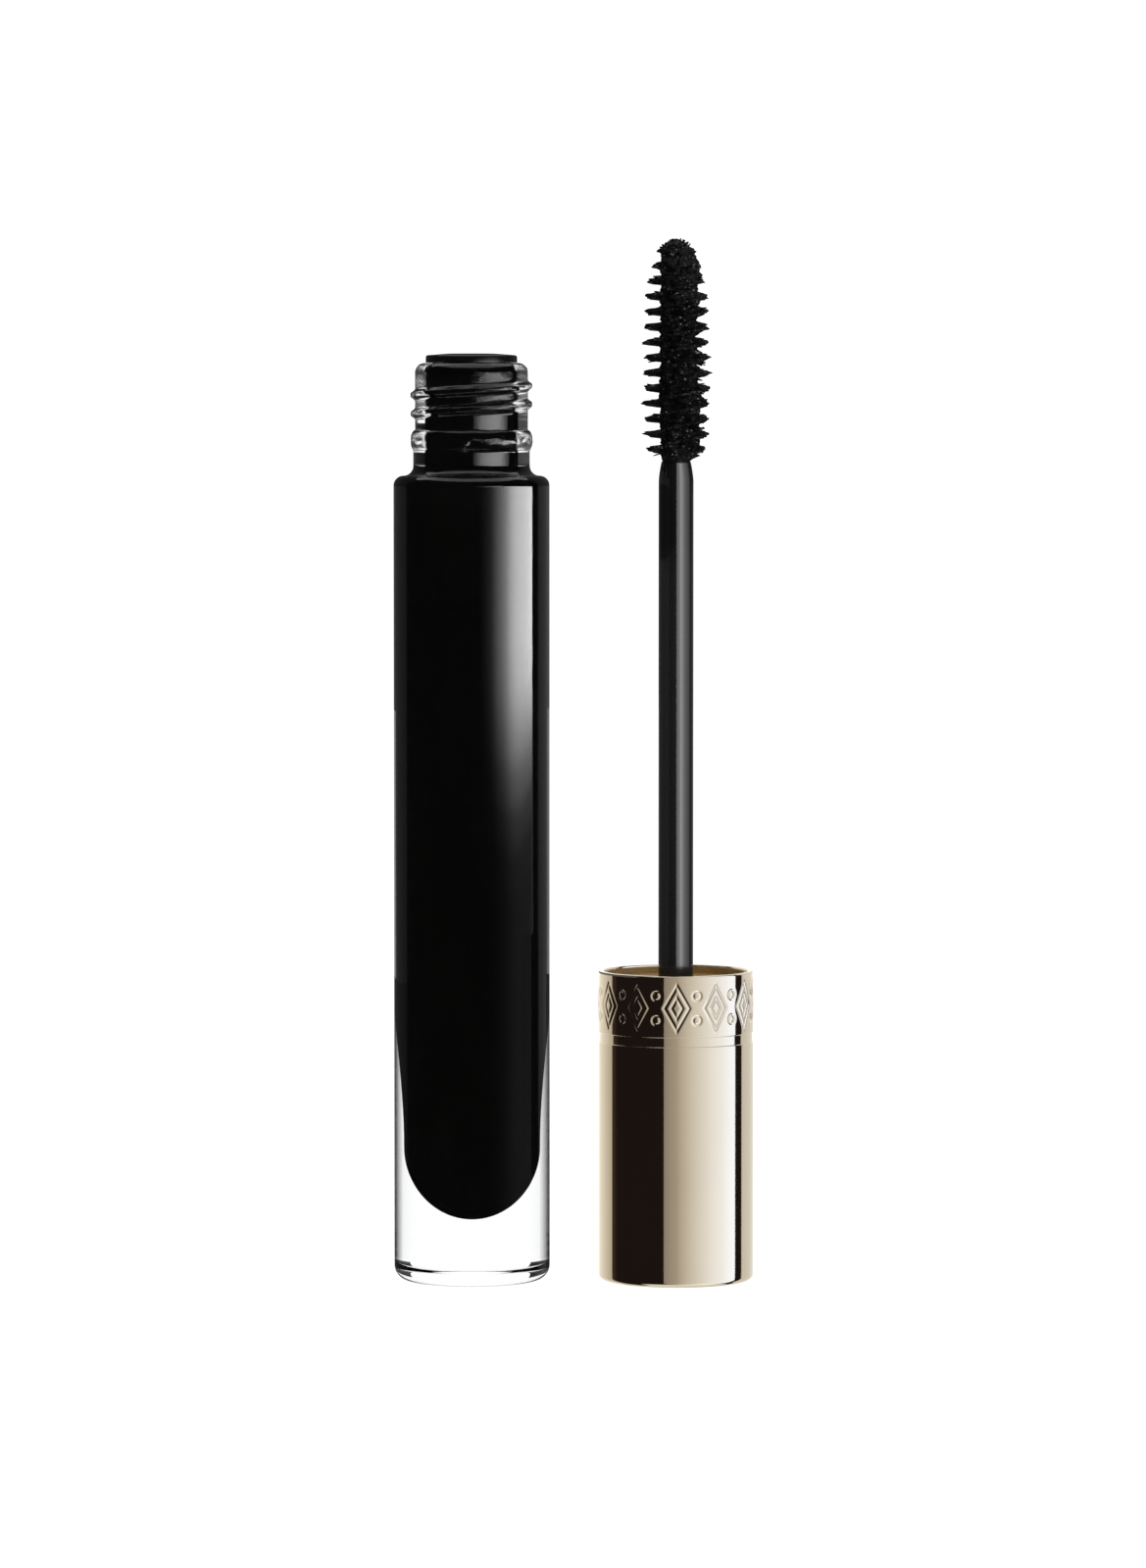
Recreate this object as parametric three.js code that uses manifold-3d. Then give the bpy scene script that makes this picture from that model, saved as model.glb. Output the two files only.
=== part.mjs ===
// A glass mascara tube, opened. The bottle stands on the left. The applicator stands beside it
// on its closed end, with the brush up. Millimetres, +Z up, the front faces -Y.
import * as THREE from "three";
import { mergeVertices } from "three/addons/utils/BufferGeometryUtils.js";
import Module from "manifold-3d";

const wasm = await Module();
wasm.setup();

// Shared dimensions
const TUBE_RADIUS = 9.5; // the bottle and the cap are flush with each other
const AXIS_SPACING = 24.9; // from the bottle's axis to the applicator's, as they are set down
const FIT = 0.1; // clearance between assembled pieces
const FULL_TURN = 2 * Math.PI;

// Facets round each axis, and along the arcs of the profiles
const ROUND_SIDES = 36;
const SMALL_SIDES = 16;
const CORNER_STEPS = 4;
const SMALL_CORNER_STEPS = 3;
const RIM_STEPS = 2;
const WIDE_ARC_STEPS = 5;
const CHAMBER_TAPER_STEPS = 6;
const CHAMBER_FLOOR_STEPS = 8;

// Bottle
const SHOULDER_Z = 98.3;
const BODY_CORNER = 1.2;
const FOOT_INNER_RADIUS = 6.9;
const PUSH_UP_HEIGHT = 1.1;
const NECK_RADIUS = 6.87;
const NECK_ROOT_RADIUS = 7.1;
const NECK_FLARE = 1.2;
const NECK_TOP_Z = 112.0;
const NECK_LIP = 1.15;
const BORE_RADIUS = 3.75;
const BEAD_Z = 102.55;
const BEAD_HALF_HEIGHT = 1.3;
const BEAD_RADIUS = 7.43;
const CHAMBER_RADIUS = 6.9;
const CHAMBER_TOP_Z = 99.0;
const CHAMBER_SHOULDER_HEIGHT = 3.1; // height of the quarter ellipse between its wall and the bore
const CHAMBER_FLOOR_Z = 7.7;
const CHAMBER_FLOOR_RADIUS = 5.5;
const CHAMBER_FLOOR_HEIGHT = 8.4; // height of the half ellipse that closes the chamber
const CHAMBER_TAPER_TOP_Z = 46;

// Screw thread of the neck and the cap
const THREAD_PITCH = 2.25;
const THREAD_DEPTH = 0.53;
const THREAD_BASE_WIDTH = 1.5;
const THREAD_CREST_WIDTH = 0.4;
const THREAD_EMBED = 0.3; // how far the ridge's root is sunk into the wall it stands on
const THREAD_TOP_Z = 109.76;
const THREAD_TURNS = 2;
const THREAD_FADE_TURNS = 0.16;
const THREAD_STEPS_PER_TURN = 18;
const CLOSED_PHASE = 3.5; // pitches between the two ridges' tops when shut, so that both mesh

// Wiper and mascara
const WIPER_FLANGE_RADIUS = 5.57;
const WIPER_FLANGE_HEIGHT = 1.2;
const WIPER_FLANGE_ROUND = 0.4;
const WIPER_WALL = 0.6;
const WIPER_LENGTH = 14.5;
const WIPER_MOUTH_RADIUS = 4.2;
const WIPER_MOUTH_DEPTH = 1.4;
const WIPER_LIP_HEIGHT = 2.4;
const WIPER_LIP_EDGE = 0.5;
const WIPER_ORIFICE_RADIUS = 2.25;
const PASTE_TOP_Z = 93;
const PASTE_CHANNEL_RADIUS = 4.2; // the brush leaves its own channel in the thick paste
const PASTE_CHANNEL_FLOOR_Z = 10.6;
const PASTE_CHANNEL_END_RADIUS = 2.94;
const PASTE_CHANNEL_END_HEIGHT = 1.8;

// Cap
const CAP_HEIGHT = 37.9;
const SHELL_WALL = 0.75;
const SHELL_FLOOR = 1.0;
const SHELL_CORNER = 0.7;
const SHELL_RIM_ROUND = 0.2;
const RING_LOW_Z = 29.3; // turned ring between the plain barrel and the ornament band
const RING_HIGH_Z = 30.4;
const RING_DEPTH = 0.12;
const LINER_RECESS = 1.0;
const LINER_WALL = 0.85;
const LINER_BORE_RADIUS = 7.6;
const LINER_MOUTH_CHAMFER = 0.5;
const LINER_WEB_TOP_Z = 22.3;
const LINER_WEB_THICKNESS = 1.6;
const SOCKET_DEPTH = 9.3;
const SOCKET_WALL = 1.3;
const SOCKET_FLOOR = 1.0;
const GASKET_THICKNESS = 0.7;
const CLOSED_GAP = 0.3; // between the cap's rim and the bottle's shoulder when the tube is shut

// Stem and brush
const STEM_RADIUS = 2.13;
const STEM_TIP_RADIUS = 1.79;
const STEM_TIP_TAPER = 2.6;
const STEM_TOP_Z = 100.1;
const SPIGOT_RADIUS = 1.8;
const SPIGOT_CHAMFER = 0.4;
const SPIGOT_CHAMFER_HEIGHT = 0.6;
const COLLAR_RADIUS = 3.0;
const COLLAR_HEIGHT = 1.0;
const WIRE_HOLE_DEPTH = 8;
const WIRE_STRAND_RADIUS = 0.3;
const WIRE_TOP_Z = 126.9;
const WIRE_STEPS = 28;
const STRAND_STEPS = 3;
const BRISTLE_ROWS = 14;
const BRISTLE_PITCH = 1.86; // half the wires' lead, because each bristle sticks out on both sides
const BRISTLE_FIRST_Z = 101.5;
const BRISTLE_RADIUS = 3.96;
const BRISTLE_ROW_THICKNESS = 1.0;
const BRISTLE_EDGE_THICKNESS = 0.5;
const BRUSH_TIP_LENGTH = 9; // the stretch over which the brush narrows to its tip
const BRUSH_TIP_OVERHANG = 1.6;
const BRUSH_ROOT_LENGTH = 3.4;
const BRUSH_ROOT_OVERHANG = 2.2;

// Returns points of an elliptical arc in the (radius, height) plane, angles in degrees.
function arc(centreR, centreZ, radiusR, radiusZ, fromDegrees, toDegrees, steps) {
  return Array.from({ length: steps + 1 }, (_, i) => {
    const angle = THREE.MathUtils.degToRad(fromDegrees + ((toDegrees - fromDegrees) * i) / steps);
    return [centreR + radiusR * Math.cos(angle), centreZ + radiusZ * Math.sin(angle)];
  });
}

// Turns a profile of [radius, height] points about +Z.
function turned(profile, sides) {
  const points = profile.map(([radius, height]) => new THREE.Vector2(Math.max(radius, 0), height));
  return new THREE.LatheGeometry(points, sides).rotateX(Math.PI / 2);
}

function toSolid(geometry) {
  const bare = geometry.clone();
  bare.deleteAttribute("normal");
  bare.deleteAttribute("uv");
  const merged = mergeVertices(bare, 1e-4);
  return new wasm.Manifold(
    new wasm.Mesh({
      numProp: 3,
      vertProperties: merged.attributes.position.array,
      triVerts: new Uint32Array(merged.index.array),
    }),
  );
}

function fromSolid(solid) {
  const mesh = solid.getMesh();
  const geometry = new THREE.BufferGeometry();
  geometry.setAttribute("position", new THREE.BufferAttribute(mesh.vertProperties, mesh.numProp));
  geometry.setIndex(new THREE.BufferAttribute(mesh.triVerts, 1));
  return geometry;
}

// A closed surface through equal rings of points, with a flat fan over each end.
function ringSurface(rings) {
  const count = rings[0].length;
  const indices = [];
  for (let row = 0; row < rings.length - 1; row++) {
    for (let k = 0; k < count; k++) {
      const a = row * count + k;
      const b = row * count + ((k + 1) % count);
      indices.push(a, b, b + count, a, b + count, a + count);
    }
  }
  const last = (rings.length - 1) * count;
  for (let k = 1; k < count - 1; k++) {
    indices.push(0, k + 1, k);
    indices.push(last, last + k, last + k + 1);
  }
  const geometry = new THREE.BufferGeometry();
  geometry.setAttribute("position", new THREE.Float32BufferAttribute(rings.flat(2), 3));
  geometry.setIndex(indices);
  return geometry;
}

// A right-hand thread ridge. A positive depth stands out from the wall, a negative one in from it.
function threadRidge(wallRadius, depth, topZ, topAngle) {
  const steps = THREAD_TURNS * THREAD_STEPS_PER_TURN;
  const rootRadius = wallRadius - Math.sign(depth) * THREAD_EMBED;
  const endRadius = (rootRadius + wallRadius) / 2;
  const rings = [];
  for (let i = 0; i <= steps; i++) {
    const turn = -i / THREAD_STEPS_PER_TURN;
    const angle = topAngle + turn * FULL_TURN;
    const fromEnd = Math.min(i, steps - i) / THREAD_STEPS_PER_TURN;
    const share = Math.min(fromEnd / THREAD_FADE_TURNS, 1);
    const crestRadius = THREE.MathUtils.lerp(endRadius, wallRadius + depth, share);
    const centreZ = topZ + turn * THREAD_PITCH;
    const section = [
      [rootRadius, -THREAD_BASE_WIDTH / 2],
      [rootRadius, THREAD_BASE_WIDTH / 2],
      [crestRadius, THREAD_CREST_WIDTH / 2],
      [crestRadius, -THREAD_CREST_WIDTH / 2],
    ];
    rings.push(
      section.map(([radius, offset]) => [
        radius * Math.cos(angle),
        radius * Math.sin(angle),
        centreZ + offset,
      ]),
    );
  }
  const geometry = ringSurface(depth > 0 ? rings.map((ring) => ring.reverse()) : rings);
  return toSolid(geometry);
}

// Radius of the bottle's chamber at a height in its tapering lower wall.
function chamberRadius(z) {
  const start = CHAMBER_FLOOR_Z + CHAMBER_FLOOR_HEIGHT;
  const blend = THREE.MathUtils.smoothstep(z, start, CHAMBER_TAPER_TOP_Z);
  return THREE.MathUtils.lerp(CHAMBER_FLOOR_RADIUS, CHAMBER_RADIUS, blend);
}

// The chamber's wall from a top height down to the axis, drawn in by an inset.
function chamberProfile(topZ, inset) {
  const floorTop = CHAMBER_FLOOR_Z + CHAMBER_FLOOR_HEIGHT;
  const taper = Array.from({ length: CHAMBER_TAPER_STEPS }, (_, i) => {
    const z = THREE.MathUtils.lerp(CHAMBER_TAPER_TOP_Z, floorTop, i / CHAMBER_TAPER_STEPS);
    return [chamberRadius(z) - inset, z];
  });
  const floorRadius = CHAMBER_FLOOR_RADIUS - inset;
  const floorHeight = CHAMBER_FLOOR_HEIGHT - inset;
  const floor = arc(0, floorTop, floorRadius, floorHeight, 0, -90, CHAMBER_FLOOR_STEPS);
  return [[CHAMBER_RADIUS - inset, topZ], ...taper, ...floor];
}

// The outside of the body, from the middle of its foot up to its shoulder.
function bodyProfile() {
  const cornerR = TUBE_RADIUS - BODY_CORNER;
  const upperZ = SHOULDER_Z - BODY_CORNER;
  return [
    ...arc(0, 0, FOOT_INNER_RADIUS, PUSH_UP_HEIGHT, 90, 0, WIDE_ARC_STEPS),
    ...arc(cornerR, BODY_CORNER, BODY_CORNER, BODY_CORNER, -90, 0, CORNER_STEPS),
    ...arc(cornerR, upperZ, BODY_CORNER, BODY_CORNER, 0, 90, CORNER_STEPS),
  ];
}

// The outside of the neck: a flare off the shoulder, the bead, and the rounded lip.
function neckProfile() {
  const flareR = NECK_ROOT_RADIUS + NECK_FLARE;
  const flareZ = SHOULDER_Z + NECK_FLARE;
  const beadRise = BEAD_RADIUS - NECK_RADIUS;
  const lipR = NECK_RADIUS - NECK_LIP;
  const lipZ = NECK_TOP_Z - NECK_LIP;
  return [
    ...arc(flareR, flareZ, NECK_FLARE, NECK_FLARE, -90, -180, SMALL_CORNER_STEPS).slice(1),
    [NECK_ROOT_RADIUS, BEAD_Z - BEAD_HALF_HEIGHT],
    ...arc(NECK_RADIUS, BEAD_Z, beadRise, BEAD_HALF_HEIGHT, -60, 90, WIDE_ARC_STEPS),
    ...arc(lipR, lipZ, NECK_LIP, NECK_LIP, 0, 90, SMALL_CORNER_STEPS),
  ];
}

function glassBottle() {
  const vaultWidth = CHAMBER_RADIUS - BORE_RADIUS;
  const vaultHeight = CHAMBER_SHOULDER_HEIGHT;
  const wallTop = CHAMBER_TOP_Z - vaultHeight;
  const profile = [
    ...bodyProfile(),
    ...neckProfile(),
    [BORE_RADIUS, NECK_TOP_Z],
    ...arc(BORE_RADIUS, wallTop, vaultWidth, vaultHeight, 90, 0, CORNER_STEPS),
    ...chamberProfile(wallTop, 0).slice(1),
  ];
  const ridge = threadRidge(NECK_RADIUS, THREAD_DEPTH, THREAD_TOP_Z, FULL_TURN / 4);
  return fromSolid(toSolid(turned(profile, ROUND_SIDES)).add(ridge));
}

// The paste lines the chamber and keeps the open channel that the brush works in.
function mascaraPaste() {
  const channel = [
    [0, PASTE_CHANNEL_FLOOR_Z],
    [PASTE_CHANNEL_END_RADIUS, PASTE_CHANNEL_FLOOR_Z],
    [PASTE_CHANNEL_RADIUS, PASTE_CHANNEL_FLOOR_Z + PASTE_CHANNEL_END_HEIGHT],
    [PASTE_CHANNEL_RADIUS, PASTE_TOP_Z],
  ];
  return turned([...chamberProfile(PASTE_TOP_Z, FIT).reverse(), ...channel.reverse()], ROUND_SIDES);
}

// The wiper hangs in the neck by its flange, and its lip strips the brush and the stem.
function wiper() {
  const round = WIPER_FLANGE_ROUND;
  const flangeBottom = NECK_TOP_Z + FIT / 2;
  const flangeTop = NECK_TOP_Z + WIPER_FLANGE_HEIGHT;
  const sleeveRadius = BORE_RADIUS - FIT;
  const bottom = NECK_TOP_Z - WIPER_LENGTH;
  const lipTop = bottom + WIPER_LIP_HEIGHT;
  const profile = [
    [WIPER_ORIFICE_RADIUS + WIPER_WALL, bottom],
    [sleeveRadius, lipTop],
    [sleeveRadius, flangeBottom],
    [WIPER_FLANGE_RADIUS, flangeBottom],
    ...arc(WIPER_FLANGE_RADIUS - round, flangeTop - round, round, round, 0, 90, SMALL_CORNER_STEPS),
    [WIPER_MOUTH_RADIUS, flangeTop],
    [sleeveRadius - WIPER_WALL, flangeTop - WIPER_MOUTH_DEPTH],
    [sleeveRadius - WIPER_WALL, lipTop],
    [WIPER_ORIFICE_RADIUS, bottom + WIPER_LIP_EDGE],
    [WIPER_ORIFICE_RADIUS, bottom],
    [WIPER_ORIFICE_RADIUS + WIPER_WALL, bottom],
  ];
  return turned(profile, ROUND_SIDES);
}

function capShell() {
  const inner = TUBE_RADIUS - SHELL_WALL;
  const cornerR = TUBE_RADIUS - SHELL_CORNER;
  const rimRound = SHELL_RIM_ROUND;
  const rimCentre = CAP_HEIGHT - rimRound;
  const profile = [
    [0, 0],
    ...arc(cornerR, SHELL_CORNER, SHELL_CORNER, SHELL_CORNER, -90, 0, CORNER_STEPS),
    [TUBE_RADIUS, RING_LOW_Z - RING_DEPTH],
    [TUBE_RADIUS - RING_DEPTH, RING_LOW_Z],
    [TUBE_RADIUS - RING_DEPTH, RING_HIGH_Z],
    [TUBE_RADIUS, RING_HIGH_Z + RING_DEPTH],
    ...arc(TUBE_RADIUS - rimRound, rimCentre, rimRound, rimRound, 0, 90, RIM_STEPS),
    ...arc(inner + rimRound, rimCentre, rimRound, rimRound, 90, 180, RIM_STEPS),
    [inner, SHELL_FLOOR],
    [0, SHELL_FLOOR],
  ];
  return turned(profile, ROUND_SIDES);
}

// The liner carries the cap's thread above its web, and the stem's socket below it.
function capLiner() {
  const outer = TUBE_RADIUS - SHELL_WALL - FIT;
  const webBottom = LINER_WEB_TOP_Z - LINER_WEB_THICKNESS;
  const socketRadius = SPIGOT_RADIUS + FIT;
  const socketFloor = LINER_WEB_TOP_Z - SOCKET_DEPTH;
  const topZ = CAP_HEIGHT - LINER_RECESS;
  const profile = [
    [0, socketFloor - SOCKET_FLOOR],
    [socketRadius + SOCKET_WALL, socketFloor - SOCKET_FLOOR],
    [socketRadius + SOCKET_WALL, webBottom],
    [outer - LINER_WALL, webBottom],
    [outer - LINER_WALL, SHELL_FLOOR + FIT],
    [outer, SHELL_FLOOR + FIT],
    [outer, topZ],
    [LINER_BORE_RADIUS + LINER_MOUTH_CHAMFER, topZ],
    [LINER_BORE_RADIUS, topZ - LINER_MOUTH_CHAMFER],
    [LINER_BORE_RADIUS, LINER_WEB_TOP_Z],
    [socketRadius, LINER_WEB_TOP_Z],
    [socketRadius, socketFloor],
    [0, socketFloor],
  ];
  // Shut, the cap's ridge lies half a pitch from the neck's, so both threads mesh.
  const closedTopZ = SHOULDER_Z + CLOSED_GAP + CAP_HEIGHT;
  const ridgeTopZ = closedTopZ - THREAD_TOP_Z + THREAD_PITCH * CLOSED_PHASE;
  const ridge = threadRidge(LINER_BORE_RADIUS, -THREAD_DEPTH, ridgeTopZ, FULL_TURN / 4);
  return fromSolid(toSolid(turned(profile, ROUND_SIDES)).add(ridge));
}

function capGasket() {
  const inner = COLLAR_RADIUS + FIT;
  const outer = LINER_BORE_RADIUS - FIT;
  const low = LINER_WEB_TOP_Z + FIT;
  const high = low + GASKET_THICKNESS;
  return turned([[inner, low], [outer, low], [outer, high], [inner, high], [inner, low]], ROUND_SIDES);
}

// The stem's spigot snaps into the liner's socket, and its far end grips the brush's wire.
function stem() {
  const spigotBottom = LINER_WEB_TOP_Z - SOCKET_DEPTH + FIT;
  const collarBottom = LINER_WEB_TOP_Z + FIT;
  const holeRadius = 2 * WIRE_STRAND_RADIUS + FIT;
  const profile = [
    [0, spigotBottom],
    [SPIGOT_RADIUS - SPIGOT_CHAMFER, spigotBottom],
    [SPIGOT_RADIUS, spigotBottom + SPIGOT_CHAMFER_HEIGHT],
    [SPIGOT_RADIUS, collarBottom],
    [COLLAR_RADIUS, collarBottom],
    [COLLAR_RADIUS, collarBottom + COLLAR_HEIGHT],
    [STEM_RADIUS, collarBottom + COLLAR_HEIGHT],
    [STEM_RADIUS, STEM_TOP_Z - STEM_TIP_TAPER],
    [STEM_TIP_RADIUS, STEM_TOP_Z],
    [holeRadius, STEM_TOP_Z],
    [holeRadius, STEM_TOP_Z - WIRE_HOLE_DEPTH],
    [0, STEM_TOP_Z - WIRE_HOLE_DEPTH],
  ];
  return turned(profile, SMALL_SIDES);
}

// One wire folded in two and twisted, drawn as the outline of its two strands turning with height.
function brushWire() {
  const bottom = STEM_TOP_Z - WIRE_HOLE_DEPTH + FIT;
  const lead = 2 * BRISTLE_PITCH;
  const strand = WIRE_STRAND_RADIUS;
  const outline = [
    ...arc(strand, 0, strand, strand, -90, 90, STRAND_STEPS),
    ...arc(-strand, 0, strand, strand, 90, 270, STRAND_STEPS),
  ];
  const rings = [];
  for (let i = 0; i <= WIRE_STEPS; i++) {
    const z = THREE.MathUtils.lerp(bottom, WIRE_TOP_Z, i / WIRE_STEPS);
    const twist = (FULL_TURN * (z - bottom)) / lead;
    rings.push(
      outline.map(([x, y]) => [
        x * Math.cos(twist) - y * Math.sin(twist),
        x * Math.sin(twist) + y * Math.cos(twist),
        z,
      ]),
    );
  }
  return ringSurface(rings);
}

// A quarter circle's rise from 0 at the very end to 1 at a full share.
function roundedEnd(share) {
  const clamped = THREE.MathUtils.clamp(share, 0, 1);
  return Math.sqrt(1 - (1 - clamped) ** 2);
}

// Radius of the brush at a height: full in the middle, drawn in at both ends.
function brushRadius(z) {
  const tipZ = BRISTLE_FIRST_Z + (BRISTLE_ROWS - 1) * BRISTLE_PITCH + BRUSH_TIP_OVERHANG;
  const rootZ = BRISTLE_FIRST_Z - BRUSH_ROOT_OVERHANG;
  const toTip = roundedEnd((tipZ - z) / BRUSH_TIP_LENGTH);
  const toRoot = roundedEnd((z - rootZ) / BRUSH_ROOT_LENGTH);
  return BRISTLE_RADIUS * toTip * toRoot;
}

function bristleRow(index) {
  const centre = BRISTLE_FIRST_Z + index * BRISTLE_PITCH;
  const inner = 2 * WIRE_STRAND_RADIUS + FIT;
  const outer = brushRadius(centre);
  const thick = BRISTLE_ROW_THICKNESS / 2;
  const edge = BRISTLE_EDGE_THICKNESS / 2;
  const profile = [
    [inner, centre - thick],
    [outer, centre - edge],
    [outer, centre + edge],
    [inner, centre + thick],
    [inner, centre - thick],
  ];
  return turned(profile, SMALL_SIDES);
}

function material(colour, roughness, metalness) {
  return new THREE.MeshStandardMaterial({ color: colour, roughness, metalness });
}

const clearGlass = material(0xe8eef0, 0.05, 0);
clearGlass.transparent = true;
clearGlass.opacity = 0.35;
const blackPaste = material(0x080808, 0.35, 0);
const blackPlastic = material(0x101011, 0.4, 0);
const goldMetal = material(0xc9b68c, 0.15, 1);
const goldPlastic = material(0x6e5326, 0.35, 0);
const paleFoam = material(0xe6e3da, 0.8, 0);
const steelWire = material(0x55565a, 0.4, 1);
const blackNylon = material(0x0b0b0c, 0.5, 0);

function named(name, geometry, look) {
  const mesh = new THREE.Mesh(geometry, look);
  mesh.name = name;
  return mesh;
}

const bottle = new THREE.Group();
bottle.position.x = -AXIS_SPACING / 2;
bottle.add(named("glass_bottle", glassBottle(), clearGlass));
bottle.add(named("mascara_paste", mascaraPaste(), blackPaste));
bottle.add(named("wiper", wiper(), blackPlastic));

const applicator = new THREE.Group();
applicator.position.x = AXIS_SPACING / 2;
applicator.add(named("cap_shell", capShell(), goldMetal));
applicator.add(named("cap_liner", capLiner(), goldPlastic));
applicator.add(named("cap_gasket", capGasket(), paleFoam));
applicator.add(named("stem", stem(), blackPlastic));
applicator.add(named("brush_wire", brushWire(), steelWire));
for (let i = 0; i < BRISTLE_ROWS; i++) {
  const number = String(i + 1).padStart(2, "0");
  applicator.add(named(`bristle_row_${number}`, bristleRow(i), blackNylon));
}

const mascaraTube = new THREE.Group();
mascaraTube.add(bottle, applicator);

export default mascaraTube;
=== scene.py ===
"""Looks of an opened glass mascara tube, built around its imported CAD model: the glass bottle on the
left, and the gold-capped applicator standing beside it with its brush up."""

import math

import bpy
import numpy as np
from mathutils import Matrix, Vector, noise


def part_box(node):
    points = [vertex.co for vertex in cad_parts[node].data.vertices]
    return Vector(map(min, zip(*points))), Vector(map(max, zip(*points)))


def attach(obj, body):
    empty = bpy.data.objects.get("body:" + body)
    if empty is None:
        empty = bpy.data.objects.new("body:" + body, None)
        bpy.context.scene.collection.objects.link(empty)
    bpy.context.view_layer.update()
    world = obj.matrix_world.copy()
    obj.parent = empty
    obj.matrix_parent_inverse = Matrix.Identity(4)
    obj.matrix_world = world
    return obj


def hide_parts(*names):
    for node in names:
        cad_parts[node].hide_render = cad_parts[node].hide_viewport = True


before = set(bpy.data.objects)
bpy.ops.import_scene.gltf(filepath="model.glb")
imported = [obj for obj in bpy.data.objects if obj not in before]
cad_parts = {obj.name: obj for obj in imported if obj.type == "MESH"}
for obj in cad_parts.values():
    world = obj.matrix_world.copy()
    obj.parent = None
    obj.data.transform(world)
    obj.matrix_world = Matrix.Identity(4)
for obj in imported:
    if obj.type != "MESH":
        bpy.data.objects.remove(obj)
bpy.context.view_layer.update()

MM = 0.001
FULL_TURN = 2 * math.pi
FRONT = -math.pi / 2  # the angle about an upright axis that faces -Y
LEFT = math.pi
EVEN = [(0.0, (1, 1, 1))]  # colour stops that leave a brightness as it is
REFLECTIONS = "reflections"
REFRACTIONS = "refractions"
SCREEN_NECK = 0.094  # in metres: above it, the screens are those that the neck mirrors

# Places and main sizes, in millimetres, from the frame
bottle_low, bottle_high = (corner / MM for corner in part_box("glass_bottle"))
shell_low, shell_high = (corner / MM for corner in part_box("cap_shell"))
stem_low, stem_high = (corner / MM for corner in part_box("stem"))
BOTTLE_X = (bottle_low.x + bottle_high.x) / 2
CAP_X = (shell_low.x + shell_high.x) / 2
TUBE_RADIUS = (bottle_high.x - bottle_low.x) / 2
NECK_TOP = bottle_high.z
CAP_HEIGHT = shell_high.z
STEM_TOP = stem_high.z
WIPER_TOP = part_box("wiper")[1].z / MM
BRISTLE_ROWS = sorted(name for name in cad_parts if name.startswith("bristle_row"))

# Bottle, in millimetres
SHOULDER = 98.3
BODY_CORNER = 1.2
BASE_CORNER = 1.8
FOOT_INNER_RADIUS = 6.9
FOOT_ROUND = 0.3
PUSH_UP = 1.1
NECK_RADIUS = 6.87
NECK_ROOT_RADIUS = 7.1
NECK_FLARE = 1.2
NECK_LIP = 1.15
NECK_LIP_FOOT = 110.6
BORE_RADIUS = 3.75
BORE_LIP = 0.35
BEAD_CENTRE = 102.55
BEAD_HALF_HEIGHT = 1.3
BEAD_RISE = 0.56
CHAMBER_RADIUS = 6.9
CHAMBER_TOP = 99.0
CHAMBER_VAULT = 3.1  # height of the quarter ellipse between the chamber's wall and the bore
CHAMBER_FLOOR = 7.7
CHAMBER_FLOOR_RADIUS = 5.5
CHAMBER_FLOOR_HEIGHT = 8.4
CHAMBER_TAPER_TOP = 46
WET = 0.03  # the paste reaches this far into the glass, so that no air shows between them
MOULD_MARK_ANGLE = FRONT - 0.1
MOULD_MARK_Z = 101.9
MOULD_MARK_HALF_WIDTH = 0.45
MOULD_MARK_HALF_HEIGHT = 0.75
MOULD_MARK_RISE = 0.42

# Thread, in millimetres and turns
THREAD_PITCH = 2.25
THREAD_RISE = 0.53
THREAD_HALF_WIDTH = 0.8
THREAD_TOP = 109.76
THREAD_TURNS = 2
THREAD_FADE = 0.16
CLOSED_GAP = 0.3

# Wiper, in millimetres
WIPER_FLANGE_RADIUS = 5.57
WIPER_ORIFICE_RADIUS = 2.25
WIPER_WALL = 0.6
WIPER_LENGTH = 14.5

# Cap, in millimetres
SHELL_WALL = 0.75
SHELL_FLOOR = 1.0
SHELL_CORNER = 0.7
RIM_ROUND = 0.2
RING_LOW = 29.3
RING_HIGH = 30.4
RING_DEPTH = 0.12
LINER_GAP = 0.1
LINER_RECESS = 1.0
LINER_SKIRT = 0.25
SKIRT_RECESS = 0.22
LINER_WALL = 0.85
LINER_BORE = 7.6
LINER_WEB = 22.3
LINER_WEB_THICKNESS = 1.6
SOCKET_RADIUS = 1.9
SOCKET_WALL = 1.3
SOCKET_DEPTH = 9.3
SOCKET_FLOOR = 1.0
GASKET_THICKNESS = 0.7

# Engraved frieze on the cap's band
FRIEZE_REPEATS = 12
FRIEZE_MIDDLE = 34.0
LOZENGE_HALF_WIDTH = 1.55
LOZENGE_HALF_HEIGHT = 2.7
INNER_LOZENGE = 0.45  # share of the outer one
PEARL_RADIUS = 0.5
PEARL_HEIGHT = 0.55  # share of the lozenge's half height
ENGRAVING_WIDTH = 0.16
ENGRAVING_DEPTH = 0.12

# Stem and brush, in millimetres
STEM_RADIUS = 2.13
STEM_TIP_RADIUS = 1.79
STEM_TAPER = 2.6
COLLAR_RADIUS = 3.0
COLLAR_THICKNESS = 1.0
SPIGOT_RADIUS = 1.8
WIRE_HOLE_RADIUS = 0.7
WIRE_HOLE_DEPTH = 8
WIRE_RADIUS = 0.3
WIRE_TOP = 126.7
BRISTLE_PITCH = 1.86
BRISTLE_FIRST = 101.5
BRISTLE_LENGTH = 3.96
BRISTLE_ROOT = 0.35
BRUSH_TOP = 127.1
BRUSH_TIP_TAPER = 10.5
BRUSH_ROOT_TAPER = 3.6
TUFT_BRISTLES = 60
TUFT_RADIUS = 2.4
PASTE_BOTTOM = STEM_TOP - 0.2
PASTE_RADIUS = 1.7
PASTE_CLOGGING = 0.95
PASTE_JOINT_HEIGHT = 0.8
PASTE_TIP_ROUND = 1.3
CLUMPS_PER_HALF_TURN = 10
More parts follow.
